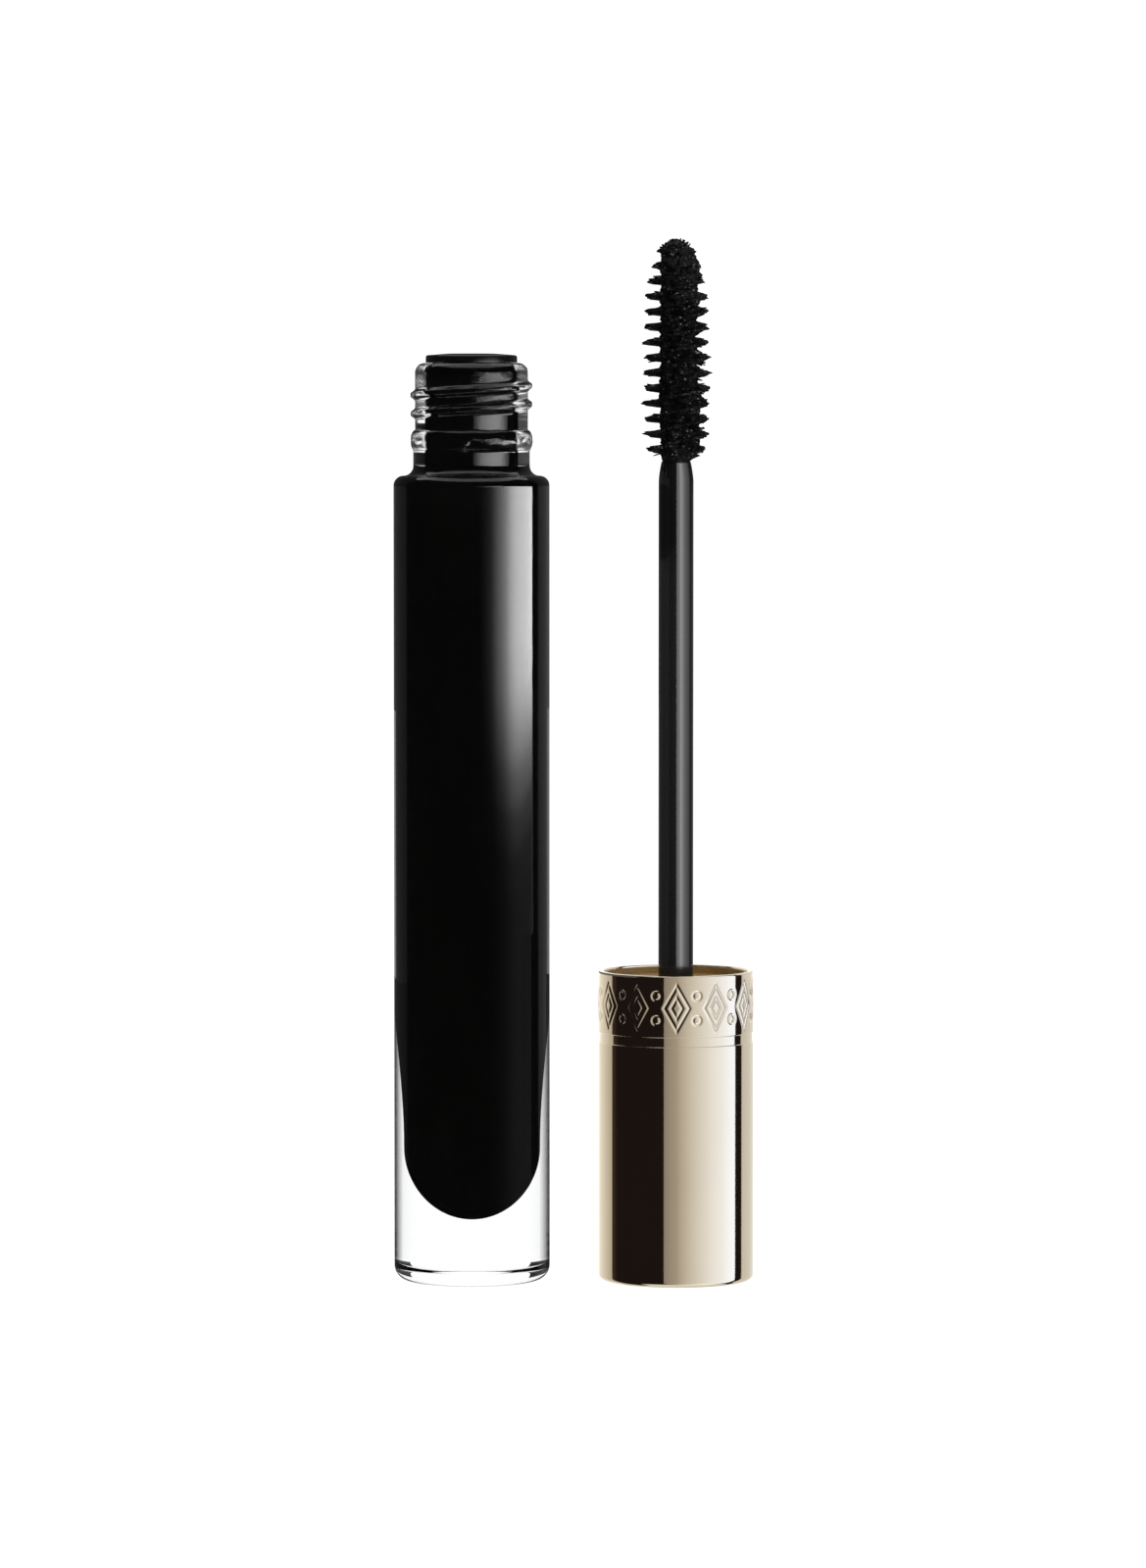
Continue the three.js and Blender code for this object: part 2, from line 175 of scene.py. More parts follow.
BRISTLES_PER_CLUMP = 5


# ---- mesh helpers


def arc(centre_r, centre_z, radius, start, stop, steps, radius_z=None):
    """Points of an arc in the (radius, height) plane, angles in degrees. It is a circle's, unless
    it has an upright radius of its own."""
    upright = radius if radius_z is None else radius_z
    angles = np.radians(np.linspace(start, stop, steps + 1))
    return [(centre_r + radius * math.cos(a), centre_z + upright * math.sin(a)) for a in angles]


def smooth(share):
    """A share clipped to 0 to 1, and eased at both ends."""
    share = np.clip(share, 0, 1)
    return share * share * (3 - 2 * share)


def column(radius, low, high, steps):
    """Points up, or down, a straight wall."""
    return [(radius, z) for z in np.linspace(low, high, steps + 1)]


def mesh_piece(name, material, points, faces, sharp_degrees=40):
    """A smooth-shaded mesh from points in millimetres, with edges sharper than the angle kept crisp."""
    mesh = bpy.data.meshes.new(name)
    mesh.from_pydata([tuple(p) for p in np.asarray(points) * MM], [], faces)
    mesh.validate()
    mesh.shade_smooth()
    mesh.set_sharp_from_angle(angle=math.radians(sharp_degrees))
    mesh.materials.append(material)
    piece = bpy.data.objects.new(name, mesh)
    bpy.context.scene.collection.objects.link(piece)
    return piece


def band(low, high, sides):
    """Faces between two rings of points, each given by the number of its first point."""
    nexts = [(k + 1) % sides for k in range(sides)]
    return [(low + k, low + after, high + after, high + k) for k, after in enumerate(nexts)]


def turned(name, material, centre_x, profile, segments=128, carve=None, sharp_degrees=40):
    """Turns a profile of (radius, height) points, listed with the solid on its left hand.
    It runs from axis to axis, or closes on itself. carve(radius, z, angle) gives new radii."""
    profile = np.array(profile, float)
    on_axis = profile[0, 0] < 1e-6
    rows = profile[1:-1] if on_axis else profile
    angles = np.arange(segments) * FULL_TURN / segments
    radius = np.repeat(rows[:, :1], segments, axis=1)
    height = np.repeat(rows[:, 1:], segments, axis=1)
    angle = np.repeat(angles[None, :], len(rows), axis=0)
    if carve:
        radius = carve(radius, height, angle)
    points = np.stack(
        [centre_x + radius * np.cos(angle), radius * np.sin(angle), height], axis=-1
    ).reshape(-1, 3)
    faces = []
    last = len(rows) - 1 if on_axis else len(rows)
    for i in range(last):
        faces += band(i * segments, (i + 1) % len(rows) * segments, segments)
    if on_axis:
        points = np.vstack([points, (centre_x, 0, profile[0, 1]), (centre_x, 0, profile[-1, 1])])
        first_pole, last_pole = len(points) - 2, len(points) - 1
        top = (len(rows) - 1) * segments
        for k in range(segments):
            following = (k + 1) % segments
            faces.append((first_pole, following, k))
            faces.append((last_pole, top + k, top + following))
    return mesh_piece(name, material, points, faces, sharp_degrees)


def ring_noise(z, angle, around, upward):
    """Smooth noise round an axis, with so many grains to a radian and to a millimetre of height."""
    values = np.empty_like(z)
    for index in np.ndindex(z.shape):
        a = angle[index]
        where = Vector((math.cos(a) * around, math.sin(a) * around, z[index] * upward))
        values[index] = noise.noise(where)
    return values


def thread_height(z, angle, top_z, top_angle):
    """How far a right-hand thread ridge rises at each point, from 0 to 1."""
    rise = np.zeros_like(z)
    for turn in range(-THREAD_TURNS - 1, 2):
        down = (top_angle - angle) / FULL_TURN - turn
        inside = (down > 0) & (down < THREAD_TURNS)
        centre = top_z - THREAD_PITCH * down
        share = np.clip(np.abs(z - centre) / THREAD_HALF_WIDTH, 0, 1)
        ridge = np.clip(1.25 * np.cos(share * math.pi / 2) ** 2, 0, 1)
        fade = smooth(np.minimum(down, THREAD_TURNS - down) / THREAD_FADE)
        rise = np.maximum(rise, np.where(inside, ridge * fade, 0))
    return rise


# ---- material helpers


def new_material(name, **sockets):
    """A Principled material with the given socket values. Returns its node tree's parts too."""
    material = bpy.data.materials.new(name)
    material.use_nodes = True
    nodes = material.node_tree.nodes
    shader = nodes["Principled BSDF"]
    for socket, value in sockets.items():
        shader.inputs[socket.replace("_", " ")].default_value = value
    return material, material.node_tree, shader


def place(tree, scale, offset=(0, 0, 0)):
    """Object coordinates in metres times a scale for each axis, and moved by an offset."""
    coordinates = tree.nodes.new("ShaderNodeTexCoord")
    mapping = tree.nodes.new("ShaderNodeMapping")
    mapping.inputs["Scale"].default_value = scale
    mapping.inputs["Location"].default_value = offset
    tree.links.new(coordinates.outputs["Object"], mapping.inputs["Vector"])
    return mapping.outputs["Vector"]


def noise_value(tree, scale, detail=3.0, roughness=0.5):
    """Noise from 0 to 1, with scale grains to a metre along each axis."""
    texture = tree.nodes.new("ShaderNodeTexNoise")
    texture.inputs["Scale"].default_value = 1.0
    texture.inputs["Detail"].default_value = detail
    texture.inputs["Roughness"].default_value = roughness
    tree.links.new(place(tree, scale), texture.inputs["Vector"])
    return texture.outputs["Fac"]


def ramp(tree, value, stops):
    """A colour ramp with (position, colour) stops."""
    node = tree.nodes.new("ShaderNodeValToRGB")
    elements = node.color_ramp.elements
    while len(elements) < len(stops):
        elements.new(0.5)
    while len(elements) > len(stops):
        elements.remove(elements[-1])
    for element, (position, colour) in zip(elements, stops):
        element.position = position
        element.color = (*colour, 1)
    tree.links.new(value, node.inputs["Fac"])
    return node.outputs["Color"]


def grey(value):
    """Three equal parts, of a colour or of a scale for all three axes."""
    return (value, value, value)


def grey_stops(*pairs):
    """Ramp stops from (position, brightness) pairs."""
    return [(position, grey(value)) for position, value in pairs]


def spread(tree, value, low, high):
    """Maps noise, most of which lies between 0.3 and 0.7, to a range."""
    node = tree.nodes.new("ShaderNodeMapRange")
    node.inputs["From Min"].default_value = 0.3
    node.inputs["From Max"].default_value = 0.7
    node.inputs["To Min"].default_value = low
    node.inputs["To Max"].default_value = high
    tree.links.new(value, node.inputs["Value"])
    return node.outputs["Result"]


def drive(tree, shader, **sockets):
    """Links a value to each of the shader's named sockets."""
    for socket, value in sockets.items():
        tree.links.new(value, shader.inputs[socket.replace("_", " ")])


def bump(tree, shader, value, strength, depth_mm):
    """Lets a value shade the surface as a relief."""
    node = tree.nodes.new("ShaderNodeBump")
    node.inputs["Strength"].default_value = strength
    node.inputs["Distance"].default_value = depth_mm * MM
    tree.links.new(value, node.inputs["Height"])
    tree.links.new(node.outputs["Normal"], shader.inputs["Normal"])


def axis_value(tree, axis):
    """One axis of the object coordinates, in metres."""
    coordinates = tree.nodes.new("ShaderNodeTexCoord")
    split = tree.nodes.new("ShaderNodeSeparateXYZ")
    tree.links.new(coordinates.outputs["Object"], split.inputs["Vector"])
    return split.outputs[axis]


def share_between(tree, value, start, stop):
    """From 0 where the value is at its start to 1 at its stop."""
    node = tree.nodes.new("ShaderNodeMapRange")
    node.inputs["From Min"].default_value = start
    node.inputs["From Max"].default_value = stop
    tree.links.new(value, node.inputs["Value"])
    return node.outputs["Result"]


def product(tree, first, second):
    """One value times another."""
    node = tree.nodes.new("ShaderNodeMath")
    node.operation = "MULTIPLY"
    tree.links.new(first, node.inputs[0])
    tree.links.new(second, node.inputs[1])
    return node.outputs["Value"]


# ---- materials


def clear_glass():
    """Heavy pressed glass, its neck uneven from the mould."""
    tint = (0.985, 0.992, 0.99, 1)
    material, tree, shader = new_material(
        "clear_glass", Base_Color=tint, Roughness=0.0, IOR=1.5, Transmission_Weight=1.0
    )
    sand = noise_value(tree, (1500, 1500, 2600), detail=4.0, roughness=0.65)
    up_neck = share_between(tree, axis_value(tree, "Z"), 99 * MM, 112 * MM)
    moulded = grey_stops((0.17, 0), (0.2, 1), (0.35, 1), (0.385, 0), (0.52, 0), (0.56, 1))
    bump(tree, shader, product(tree, sand, ramp(tree, up_neck, moulded)), 0.4, 0.07)
    return material


def black_paste():
    """Wet black mascara. It clings to the glass, so it has no surface gloss of its own there."""
    material, tree, shader = new_material("black_paste", IOR=1.5, Specular_IOR_Level=0.0)
    tone = noise_value(tree, (260, 260, 60), detail=4.0)
    colour = ramp(tree, tone, [(0.3, grey(0.0042)), (0.7, grey(0.0056))])
    drive(tree, shader, Base_Color=colour, Roughness=spread(tree, tone, 0.55, 0.7))
    return material


def paste_film(tree):
    """Share of paste film on the stem: bare below, covered above an uneven edge."""
    film_start, film_full, unevenness = 90 * MM, 94 * MM, 8 * MM
    level = tree.nodes.new("ShaderNodeMath")
    level.operation = "MULTIPLY_ADD"
    tree.links.new(noise_value(tree, (300, 300, 90)), level.inputs[0])
    level.inputs[1].default_value = unevenness
    tree.links.new(axis_value(tree, "Z"), level.inputs[2])
    return share_between(tree, level.outputs["Value"], film_start, film_full)


def smear(tree):
    """An upright oval on the stem's left, under the brush: 0 outside it, more towards its middle."""
    middle_z, half_width, half_height = 92.65, 1.6, 4.85
    middle_x = CAP_X - half_width
    scale = (1 / (half_width * MM), 0, 1 / (half_height * MM))
    offset = (-middle_x / half_width, 0, -middle_z / half_height)
    oval = tree.nodes.new("ShaderNodeTexGradient")
    oval.gradient_type = "SPHERICAL"
    tree.links.new(place(tree, scale, offset), oval.inputs["Vector"])
    return oval.outputs["Fac"]


def black_plastic():
    """Moulded black plastic with a fine satin grain, a film of paste near the brush and a dull
    smear of it on the left."""
    material, tree, shader = new_material("black_plastic", IOR=1.5)
    grain = noise_value(tree, (5200, 5200, 2600), detail=2.0)
    colour = ramp(tree, paste_film(tree), [(0.0, grey(0.005)), (1.0, grey(0.0025))])
    gloss = ramp(tree, smear(tree), [(0.0, grey(0.5)), (0.08, grey(0.12))])
    roughness = spread(tree, grain, 0.09, 0.15)
    drive(tree, shader, Base_Color=colour, Roughness=roughness, Specular_IOR_Level=gloss)
    bump(tree, shader, grain, 0.25, 0.01)
    return material


def wiper_plastic():
    """Soft black plastic of the wiper, a little dull, wetted by paste in patches."""
    material, tree, shader = new_material("wiper_plastic", IOR=1.5)
    patches = noise_value(tree, (700, 700, 700), detail=4.0)
    colour = ramp(tree, patches, [(0.35, grey(0.004)), (0.65, grey(0.0025))])
    drive(tree, shader, Base_Color=colour, Roughness=spread(tree, patches, 0.2, 0.12))
    return material


def gold_metal():
    """Polished pale gold aluminium, with hairline turning marks that only just show."""
    tint = (1.0, 0.98, 0.94, 1)
    material, tree, shader = new_material("gold_metal", Metallic=1.0, Specular_Tint=tint)
    tone = noise_value(tree, (150, 150, 60))
    colour = ramp(tree, tone, [(0.3, (0.575, 0.495, 0.37)), (0.7, (0.605, 0.52, 0.39))])
    hairlines = noise_value(tree, (60, 60, 42000), detail=2.0)
    drive(tree, shader, Base_Color=colour, Roughness=spread(tree, hairlines, 0.035, 0.075))
    bump(tree, shader, hairlines, 0.02, 0.002)
    return material


def gold_plastic():
    """Gold-brown moulded liner, seen only inside the cap's mouth."""
    material, tree, shader = new_material("gold_plastic", IOR=1.5)
    tone = noise_value(tree, (500, 500, 500))
    colour = ramp(tree, tone, [(0.3, (0.19, 0.105, 0.024)), (0.7, (0.24, 0.135, 0.032))])
    drive(tree, shader, Base_Color=colour, Roughness=spread(tree, tone, 0.3, 0.4))
    return material


def pale_foam():
    """Closed-cell foam of the gasket, stained with paste in patches."""
    material, tree, shader = new_material("pale_foam", Roughness=0.8)
    cells = tree.nodes.new("ShaderNodeTexVoronoi")
    cells.inputs["Scale"].default_value = 1.0
    tree.links.new(place(tree, grey(6000)), cells.inputs["Vector"])
    stain = noise_value(tree, grey(350), detail=4.0)
    colour = ramp(tree, stain, [(0.42, (0.62, 0.6, 0.55)), (0.6, (0.12, 0.11, 0.1))])
    drive(tree, shader, Base_Color=colour)
    bump(tree, shader, cells.outputs["Distance"], 0.4, 0.03)
    return material


def steel_wire():
    """Drawn steel under a skin of dried paste."""
    material, tree, shader = new_material("steel_wire", Metallic=1.0)
    skin = noise_value(tree, grey(2500))
    colour = ramp(tree, skin, [(0.3, grey(0.01)), (0.75, grey(0.12))])
    drive(tree, shader, Base_Color=colour, Roughness=spread(tree, skin, 0.5, 0.3))
    return material


def coated_nylon():
    """Black nylon bristles under half-dry, lumpy paste: dull, but for small wet glints."""
    material, tree, shader = new_material("coated_nylon", IOR=1.5)
    lumps = noise_value(tree, grey(3200), detail=4.0, roughness=0.65)
    colour = ramp(tree, lumps, [(0.35, grey(0.0022)), (0.75, grey(0.004))])
    wet = noise_value(tree, grey(3600), detail=2.0)
    gloss = ramp(tree, wet, [(0.6, grey(0.03)), (0.67, grey(1.0))])
    roughness = spread(tree, lumps, 0.34, 0.2)
    drive(tree, shader, Base_Color=colour, Roughness=roughness, Specular_IOR_Level=gloss)
    bump(tree, shader, lumps, 0.8, 0.15)
    return material


# ---- bottle


def chamber_profile(top, outset):
    """The chamber's wall from a height down to the axis, moved out by outset."""
    floor_top = CHAMBER_FLOOR + CHAMBER_FLOOR_HEIGHT
    heights = np.linspace(top, floor_top, 48, endpoint=False)
    blend = smooth((heights - floor_top) / (CHAMBER_TAPER_TOP - floor_top))
    radii = CHAMBER_FLOOR_RADIUS + (CHAMBER_RADIUS - CHAMBER_FLOOR_RADIUS) * blend + outset
    depth = CHAMBER_FLOOR_HEIGHT + outset
    floor = arc(0, floor_top, CHAMBER_FLOOR_RADIUS + outset, 0, -90, 28, radius_z=depth)
    floor[-1] = (0, floor[-1][1])
    return list(zip(radii, heights)) + floor


def chamber_vault(outset):
    """The chamber's roof, from the bore out to its wall."""
    width = CHAMBER_RADIUS - BORE_RADIUS + outset
    height = CHAMBER_VAULT + outset
    return arc(BORE_RADIUS, CHAMBER_TOP - CHAMBER_VAULT, width, 90, 0, 20, radius_z=height)


def neck_relief(radius, z, angle):
    """Adds the thread, the mould mark and the pressed glass's unevenness to the neck's outside."""
    outside = radius > BORE_RADIUS + 1.5
    on_neck = outside & (z > SHOULDER + NECK_FLARE) & (z < NECK_TOP - 0.5)
    ridge = THREAD_RISE * thread_height(z, angle, THREAD_TOP, FULL_TURN / 4)
    bead = np.clip(1 - np.abs(z - BEAD_CENTRE) / BEAD_HALF_HEIGHT, 0, 1)
    lip = np.clip((z - NECK_LIP_FOOT) / 0.5, 0, 1)
    rough = np.clip(ridge / THREAD_RISE + bead + lip, 0, 1)
    coarse_waves = 0.07 * ring_noise(z, angle, NECK_RADIUS / 1.3, 1 / 0.6)
    fine_waves = 0.045 * ring_noise(z, angle, NECK_RADIUS / 0.5, 1 / 0.3)
    waves = rough * (coarse_waves + fine_waves)
    across = (angle - (MOULD_MARK_ANGLE + FULL_TURN)) * NECK_RADIUS / MOULD_MARK_HALF_WIDTH
    upward = (z - MOULD_MARK_Z) / MOULD_MARK_HALF_HEIGHT
    mark = MOULD_MARK_RISE * np.exp(-(across**2) - upward**2)
    return radius + np.where(on_neck, ridge + mark + waves, 0)


def glass_bottle():
    """The bottle in one profile: up its outside from the base, and down its bore and chamber."""
    step = 0.03
    base = arc(0, 0, FOOT_INNER_RADIUS, 90, 4, 20, radius_z=PUSH_UP)
    base[0] = (0, base[0][1])
    corner = TUBE_RADIUS - BODY_CORNER
    base_corner = TUBE_RADIUS - BASE_CORNER
    flare = NECK_ROOT_RADIUS + NECK_FLARE
    lip = NECK_RADIUS - NECK_LIP
    bead_low, bead_high = BEAD_CENTRE - BEAD_HALF_HEIGHT, BEAD_CENTRE + BEAD_HALF_HEIGHT
    outside = (
        base
        + arc(FOOT_INNER_RADIUS + 0.35, FOOT_ROUND, FOOT_ROUND, -150, -90, 4)
        + arc(base_corner, BASE_CORNER, BASE_CORNER, -90, 0, 14)
        + column(TUBE_RADIUS, BASE_CORNER + step, SHOULDER - BODY_CORNER - step, 40)
        + arc(corner, SHOULDER - BODY_CORNER, BODY_CORNER, 0, 90, 10)
        + [(corner - step, SHOULDER)]
        + arc(flare, SHOULDER + NECK_FLARE, NECK_FLARE, -90, -180, 8)[1:]
        + column(NECK_ROOT_RADIUS, SHOULDER + NECK_FLARE + 0.2, bead_low, 12)
        + arc(NECK_RADIUS, BEAD_CENTRE, BEAD_RISE, -60, 90, 14, radius_z=BEAD_HALF_HEIGHT)
        + column(NECK_RADIUS, bead_high + 0.07, NECK_TOP - NECK_LIP - 0.05, 100)
        + arc(lip, NECK_TOP - NECK_LIP, NECK_LIP, 0, 90, 8)
    )
    bore = BORE_RADIUS + BORE_LIP
    inside = (
        arc(bore, NECK_TOP - BORE_LIP, BORE_LIP, 90, 180, 4)
        + chamber_vault(0)
        + chamber_profile(CHAMBER_TOP - CHAMBER_VAULT, 0)[1:]
    )
    profile = outside + inside
    piece = turned("bottle_glass", clear_glass(), BOTTLE_X, profile, 192, neck_relief, 60)
    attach(piece, "bottle")
    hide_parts("glass_bottle")
    return piece


def paste_fill():
    """The paste wets the whole chamber and creeps up round the wiper. The brush's channel stays."""
    wall_top = CHAMBER_TOP - CHAMBER_VAULT
    outside = (chamber_vault(WET) + chamber_profile(wall_top, WET)[1:])[::-1]
    film_radius = BORE_RADIUS - 0.02
    film_top = NECK_TOP - BORE_LIP - 0.05
    roof_thickness = 0.3
    creep = [(BORE_RADIUS + WET, CHAMBER_TOP + WET), (BORE_RADIUS + WET, film_top)]
    creep += [(film_radius, film_top), (film_radius, CHAMBER_TOP - 0.2)]
    width = CHAMBER_RADIUS - BORE_RADIUS - roof_thickness
    roof = arc(film_radius, wall_top, width, 85, 0, 12, radius_z=CHAMBER_VAULT - roof_thickness)
    radius, channel_floor = 4.1, 10.8
    channel = (
        [(radius + 1.3, wall_top - 1.1), (radius + 0.2, wall_top - 1.9)]
        + column(radius, wall_top - 2.3, channel_floor + radius, 20)
        + arc(0, channel_floor + radius, radius, 0, -90, 10)[1:]
    )
    channel[-1] = (0, channel[-1][1])
    profile = outside[:-1] + creep + roof + channel
    piece = turned("paste_fill", black_paste(), BOTTLE_X, profile, 128)
    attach(piece, "bottle")
    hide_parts("mascara_paste")
    return piece


def wiper_insert():
    """The wiper: a domed flange on the rim, a sleeve in the bore, and a lip that strips the stem."""
    sleeve = BORE_RADIUS - 0.03
    bottom = NECK_TOP - WIPER_LENGTH
    lip_top = bottom + 2.4
    edge, dome = 0.3, 0.25
    above_glass = 0.04
    mouth_radius, mouth_depth, funnel_depth = 4.1, 0.75, 1.6
    bend = NECK_TOP - BORE_LIP
    profile = (
        [(WIPER_ORIFICE_RADIUS + WIPER_WALL, bottom), (sleeve, lip_top)]
        + column(sleeve, lip_top + 0.2, bend, 12)
        + arc(sleeve + BORE_LIP, bend, BORE_LIP, 180, 90, 3, radius_z=BORE_LIP + above_glass)
        + [(WIPER_FLANGE_RADIUS, NECK_TOP + above_glass)]
        + arc(WIPER_FLANGE_RADIUS - edge, WIPER_TOP - dome - edge, edge, 0, 80, 5)
        + arc(0, WIPER_TOP - 2 * dome, WIPER_FLANGE_RADIUS, 60, 42, 4, radius_z=2 * dome)
        + [(mouth_radius, WIPER_TOP - mouth_depth)]
        + [(sleeve - WIPER_WALL, WIPER_TOP - funnel_depth), (sleeve - WIPER_WALL, lip_top)]
        + [(WIPER_ORIFICE_RADIUS, bottom + 0.5), (WIPER_ORIFICE_RADIUS, bottom)]
    )
    piece = turned("wiper_insert", wiper_plastic(), BOTTLE_X, profile, 128)
    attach(piece, "bottle")
    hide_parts("wiper")
    return piece


# ---- cap


def engraving(z, angle):
    """Depth share of the frieze: a row of upright lozenges with a pearl between each two."""
    cell = FULL_TURN / FRIEZE_REPEATS
    along = ((angle - FRONT) / cell + 0.5) % 1 - 0.5
    across = along * cell * TUBE_RADIUS
    beside = (np.abs(along) - 0.5) * cell * TUBE_RADIUS
    up = z - FRIEZE_MIDDLE
    slant = LOZENGE_HALF_WIDTH * LOZENGE_HALF_HEIGHT
    slant /= math.hypot(LOZENGE_HALF_WIDTH, LOZENGE_HALF_HEIGHT)
    from_middle = np.abs(across) / LOZENGE_HALF_WIDTH + np.abs(up) / LOZENGE_HALF_HEIGHT
    outer = (from_middle - 1) * slant
    inner = (from_middle - INNER_LOZENGE) * slant
    pearl_high = np.hypot(beside, up - LOZENGE_HALF_HEIGHT * PEARL_HEIGHT) - PEARL_RADIUS
    pearl_low = np.hypot(beside, up + LOZENGE_HALF_HEIGHT * PEARL_HEIGHT) - PEARL_RADIUS
    line = np.minimum.reduce([np.abs(d) for d in (outer, inner, pearl_high, pearl_low)])
    return np.exp(-((line / ENGRAVING_WIDTH) ** 2))


def shell_relief(radius, z, angle):
    """Engraves the frieze into the band above the ring."""
    outside = radius > TUBE_RADIUS - 0.05
    on_band = outside & (z > RING_HIGH + 0.3) & (z < CAP_HEIGHT - 0.5)
    return radius - np.where(on_band, ENGRAVING_DEPTH * engraving(z, angle), 0)


def cap_shell():
    """A closed cup of thin metal with a rounded rim and a fine ring under its engraved band."""
    inner = TUBE_RADIUS - SHELL_WALL
    corner = TUBE_RADIUS - SHELL_CORNER
    rim = CAP_HEIGHT - RIM_ROUND
    groove = TUBE_RADIUS - RING_DEPTH
    step = 0.06
    profile = (
        [(0, 0), (corner * 0.5, 0)]
        + arc(corner, SHELL_CORNER, SHELL_CORNER, -90, 0, 10)
        + column(TUBE_RADIUS, SHELL_CORNER + 1, RING_LOW - RING_DEPTH - step, 8)
        + arc(groove, RING_LOW - RING_DEPTH, RING_DEPTH, 0, 90, 4)
        + column(groove, RING_LOW + step, RING_HIGH - step, 4)
        + arc(groove, RING_HIGH + RING_DEPTH, RING_DEPTH, -90, 0, 4)
        + column(TUBE_RADIUS, RING_HIGH + RING_DEPTH + step, rim - step, 96)
        + arc(TUBE_RADIUS - RIM_ROUND, rim, RIM_ROUND, 0, 90, 4)
        + arc(inner + RIM_ROUND, rim, RIM_ROUND, 90, 180, 4)
        + column(inner, rim - step, SHELL_FLOOR, 12)
        + [(0, SHELL_FLOOR)]
    )
    segments = 60 * FRIEZE_REPEATS
    piece = turned("cap_shell_gold", gold_metal(), CAP_X, profile, segments, shell_relief, 50)
    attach(piece, "cap_and_brush")
    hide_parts("cap_shell")
    return piece


def liner_relief(radius, z, angle):
    """Cuts the cap's own thread into the liner's bore, half a pitch from the neck's when shut."""
    closed_top = SHOULDER + CLOSED_GAP + CAP_HEIGHT
    top = closed_top - THREAD_TOP + THREAD_PITCH * 3.5
    in_bore = (np.abs(radius - LINER_BORE) < 0.05) & (z > LINER_WEB + 0.2)
    ridge = THREAD_RISE * thread_height(z, angle, top, FULL_TURN / 4)
    return radius - np.where(in_bore, ridge, 0)


def cap_liner():
    """The threaded liner. A web across it holds the socket for the stem, and a skirt lines the
    shell up to its rim."""
    outer = TUBE_RADIUS - SHELL_WALL - LINER_GAP
    inner = outer - LINER_WALL
    bottom = SHELL_FLOOR + LINER_GAP
    web_bottom = LINER_WEB - LINER_WEB_THICKNESS
    socket_outer = SOCKET_RADIUS + SOCKET_WALL
    socket_floor = LINER_WEB - SOCKET_DEPTH
    socket_bottom = socket_floor - SOCKET_FLOOR
    skirt_top = CAP_HEIGHT - SKIRT_RECESS
    top = CAP_HEIGHT - LINER_RECESS
    chamfer = 0.5
    profile = (
        [(0, socket_bottom), (socket_outer, socket_bottom)]
        + [(socket_outer, web_bottom), (inner, web_bottom), (inner, bottom), (outer, bottom)]
        + [(outer, skirt_top), (outer - LINER_SKIRT, skirt_top)]
        + [(outer - LINER_SKIRT, top), (LINER_BORE + chamfer, top)]
        + column(LINER_BORE, top - chamfer, LINER_WEB, 110)
        + [(SOCKET_RADIUS, LINER_WEB), (SOCKET_RADIUS, socket_floor), (0, socket_floor)]
    )
    piece = turned("cap_liner_gold", gold_plastic(), CAP_X, profile, 128, liner_relief)
    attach(piece, "cap_and_brush")
    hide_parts("cap_liner")
    return piece


def cap_gasket():
    """A flat foam ring on the liner's web."""
    gap = 0.1
    inner, outer = COLLAR_RADIUS + gap, LINER_BORE - gap
    low = LINER_WEB + gap
    high = low + GASKET_THICKNESS
    edge = 0.12
    profile = (
        arc(outer - edge, low + edge, edge, -90, 0, 3)
        + arc(outer - edge, high - edge, edge, 0, 90, 3)
        + arc(inner + edge, high - edge, edge, 90, 180, 3)
        + arc(inner + edge, low + edge, edge, 180, 270, 3)
    )
    piece = turned("gasket_ring", pale_foam(), CAP_X, profile, 96)
    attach(piece, "cap_and_brush")
    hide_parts("cap_gasket")
    return piece


# ---- stem and brush


def stem_rod():
    """The stem: a spigot with a collar below, a long straight rod, and a drawn-in tip with a hole
    for the wire."""
    bottom = stem_low.z
    collar_low = LINER_WEB + 0.1
    collar_high = collar_low + COLLAR_THICKNESS
    straight_top = STEM_TOP - STEM_TAPER
    tip_edge = 0.15
    shares = np.linspace(0, 1, 12)
    radii = STEM_RADIUS - (STEM_RADIUS - STEM_TIP_RADIUS) * shares**1.6
    taper = list(zip(radii, straight_top + shares * (STEM_TAPER - tip_edge)))
    hole_floor = STEM_TOP - WIRE_HOLE_DEPTH
    profile = (
        [(0, bottom), (SPIGOT_RADIUS - 0.4, bottom), (SPIGOT_RADIUS, bottom + 0.6)]
        + [(SPIGOT_RADIUS, collar_low), (COLLAR_RADIUS - 0.1, collar_low)]
        + [(COLLAR_RADIUS, collar_low + 0.1), (COLLAR_RADIUS, collar_high - 0.2)]
        + [(COLLAR_RADIUS - 0.2, collar_high), (STEM_RADIUS + 0.3, collar_high)]
        + [(STEM_RADIUS, collar_high + 0.3)]
        + column(STEM_RADIUS, collar_high + 0.5, straight_top - 0.2, 60)
        + taper
        + [(STEM_TIP_RADIUS - tip_edge, STEM_TOP), (WIRE_HOLE_RADIUS, STEM_TOP)]
        + [(WIRE_HOLE_RADIUS, hole_floor), (0, hole_floor)]
    )
    piece = turned("stem_rod", black_plastic(), CAP_X, profile, 96)
    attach(piece, "stem")
    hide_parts("stem")
    return piece


def tube_faces(start, rings, sides):
    """Faces of a tube of rings of points, closed at both ends."""
    faces = []
    for low in range(start, start + (rings - 1) * sides, sides):
        faces += band(low, low + sides, sides)
    faces.append(tuple(start + k for k in reversed(range(sides))))
    faces.append(tuple(start + (rings - 1) * sides + k for k in range(sides)))
    return faces


